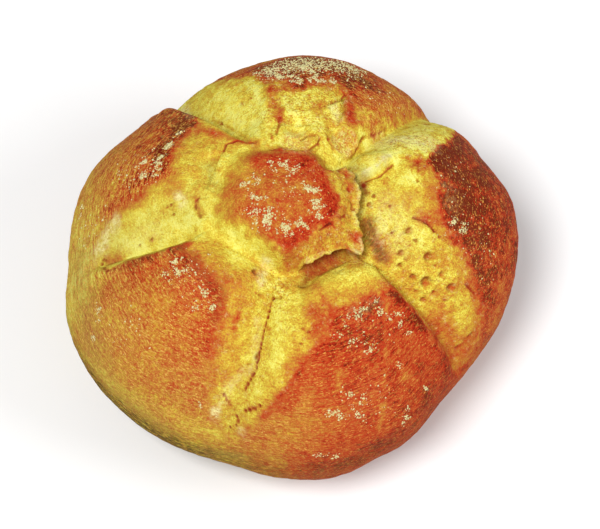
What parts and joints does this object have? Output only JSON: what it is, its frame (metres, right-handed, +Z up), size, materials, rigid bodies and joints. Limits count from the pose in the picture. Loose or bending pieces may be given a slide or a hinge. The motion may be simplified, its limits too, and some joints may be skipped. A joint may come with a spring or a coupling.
{
  "type": "rosetta bread roll",
  "caption": "Round crusty wheat roll with a raised button on its crown, ringed by swelling browned petals parted by pale torn grooves. It rests on a flat base.",
  "frame": {"origin": "middle of the roll's width and depth, on the plane of its flat base", "axes": "+Z up through the crown, +X to the right and +Y away from the picture's viewer"},
  "size_m": [0.1038, 0.1028, 0.0627],
  "materials": {
    "crust": "baked crust, browned petals and pale grooves, satin to matte, dusted with flour"
  },
  "bodies": {
    "root": {"roll": "crust"}
  },
  "joints": []
}
